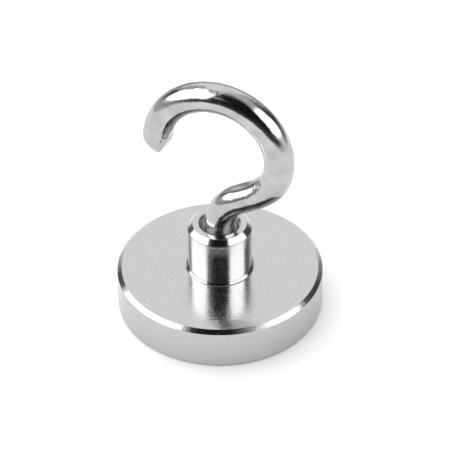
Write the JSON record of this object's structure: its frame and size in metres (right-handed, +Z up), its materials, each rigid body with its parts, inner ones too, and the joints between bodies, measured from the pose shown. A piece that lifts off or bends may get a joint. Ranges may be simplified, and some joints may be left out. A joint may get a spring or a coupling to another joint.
{
  "type": "magnet fishing magnet",
  "caption": "Round steel pot magnet with a raised threaded boss and a screw-in open wire hook for a rope or cord.",
  "frame": {"origin": "centre of the magnetic face, on the pot's axis", "axes": "+Z up along the pot's axis, from the magnetic face to the hook. The hook's plane is X-Z, with its arm leaning towards +X and its tip on the -X side."},
  "size_m": [0.042, 0.042, 0.0539],
  "materials": {
    "pot_plating": "satin nickel plate over a turned steel face",
    "magnet_plating": "smooth nickel plate on a ground face",
    "boss_plating": "bright nickel plate over turned steel",
    "hook_plating": "bright nickel plate over drawn wire",
    "resin": "cast black epoxy",
    "adhesive": "cured structural adhesive"
  },
  "bodies": {
    "pot": {"pot_shell": "pot_plating", "magnet_disc": "magnet_plating", "bond_layer": "adhesive", "resin_ring": "resin", "threaded_boss": "boss_plating"},
    "hook": {"hook": "hook_plating"}
  },
  "joints": [
    {"name": "hook_turn", "type": "hinge", "parent": "pot", "child": "hook", "pos_m": [0, 0, 0.0135], "axis": [0, 0, 1], "range_deg": [0, 270]}
  ]
}
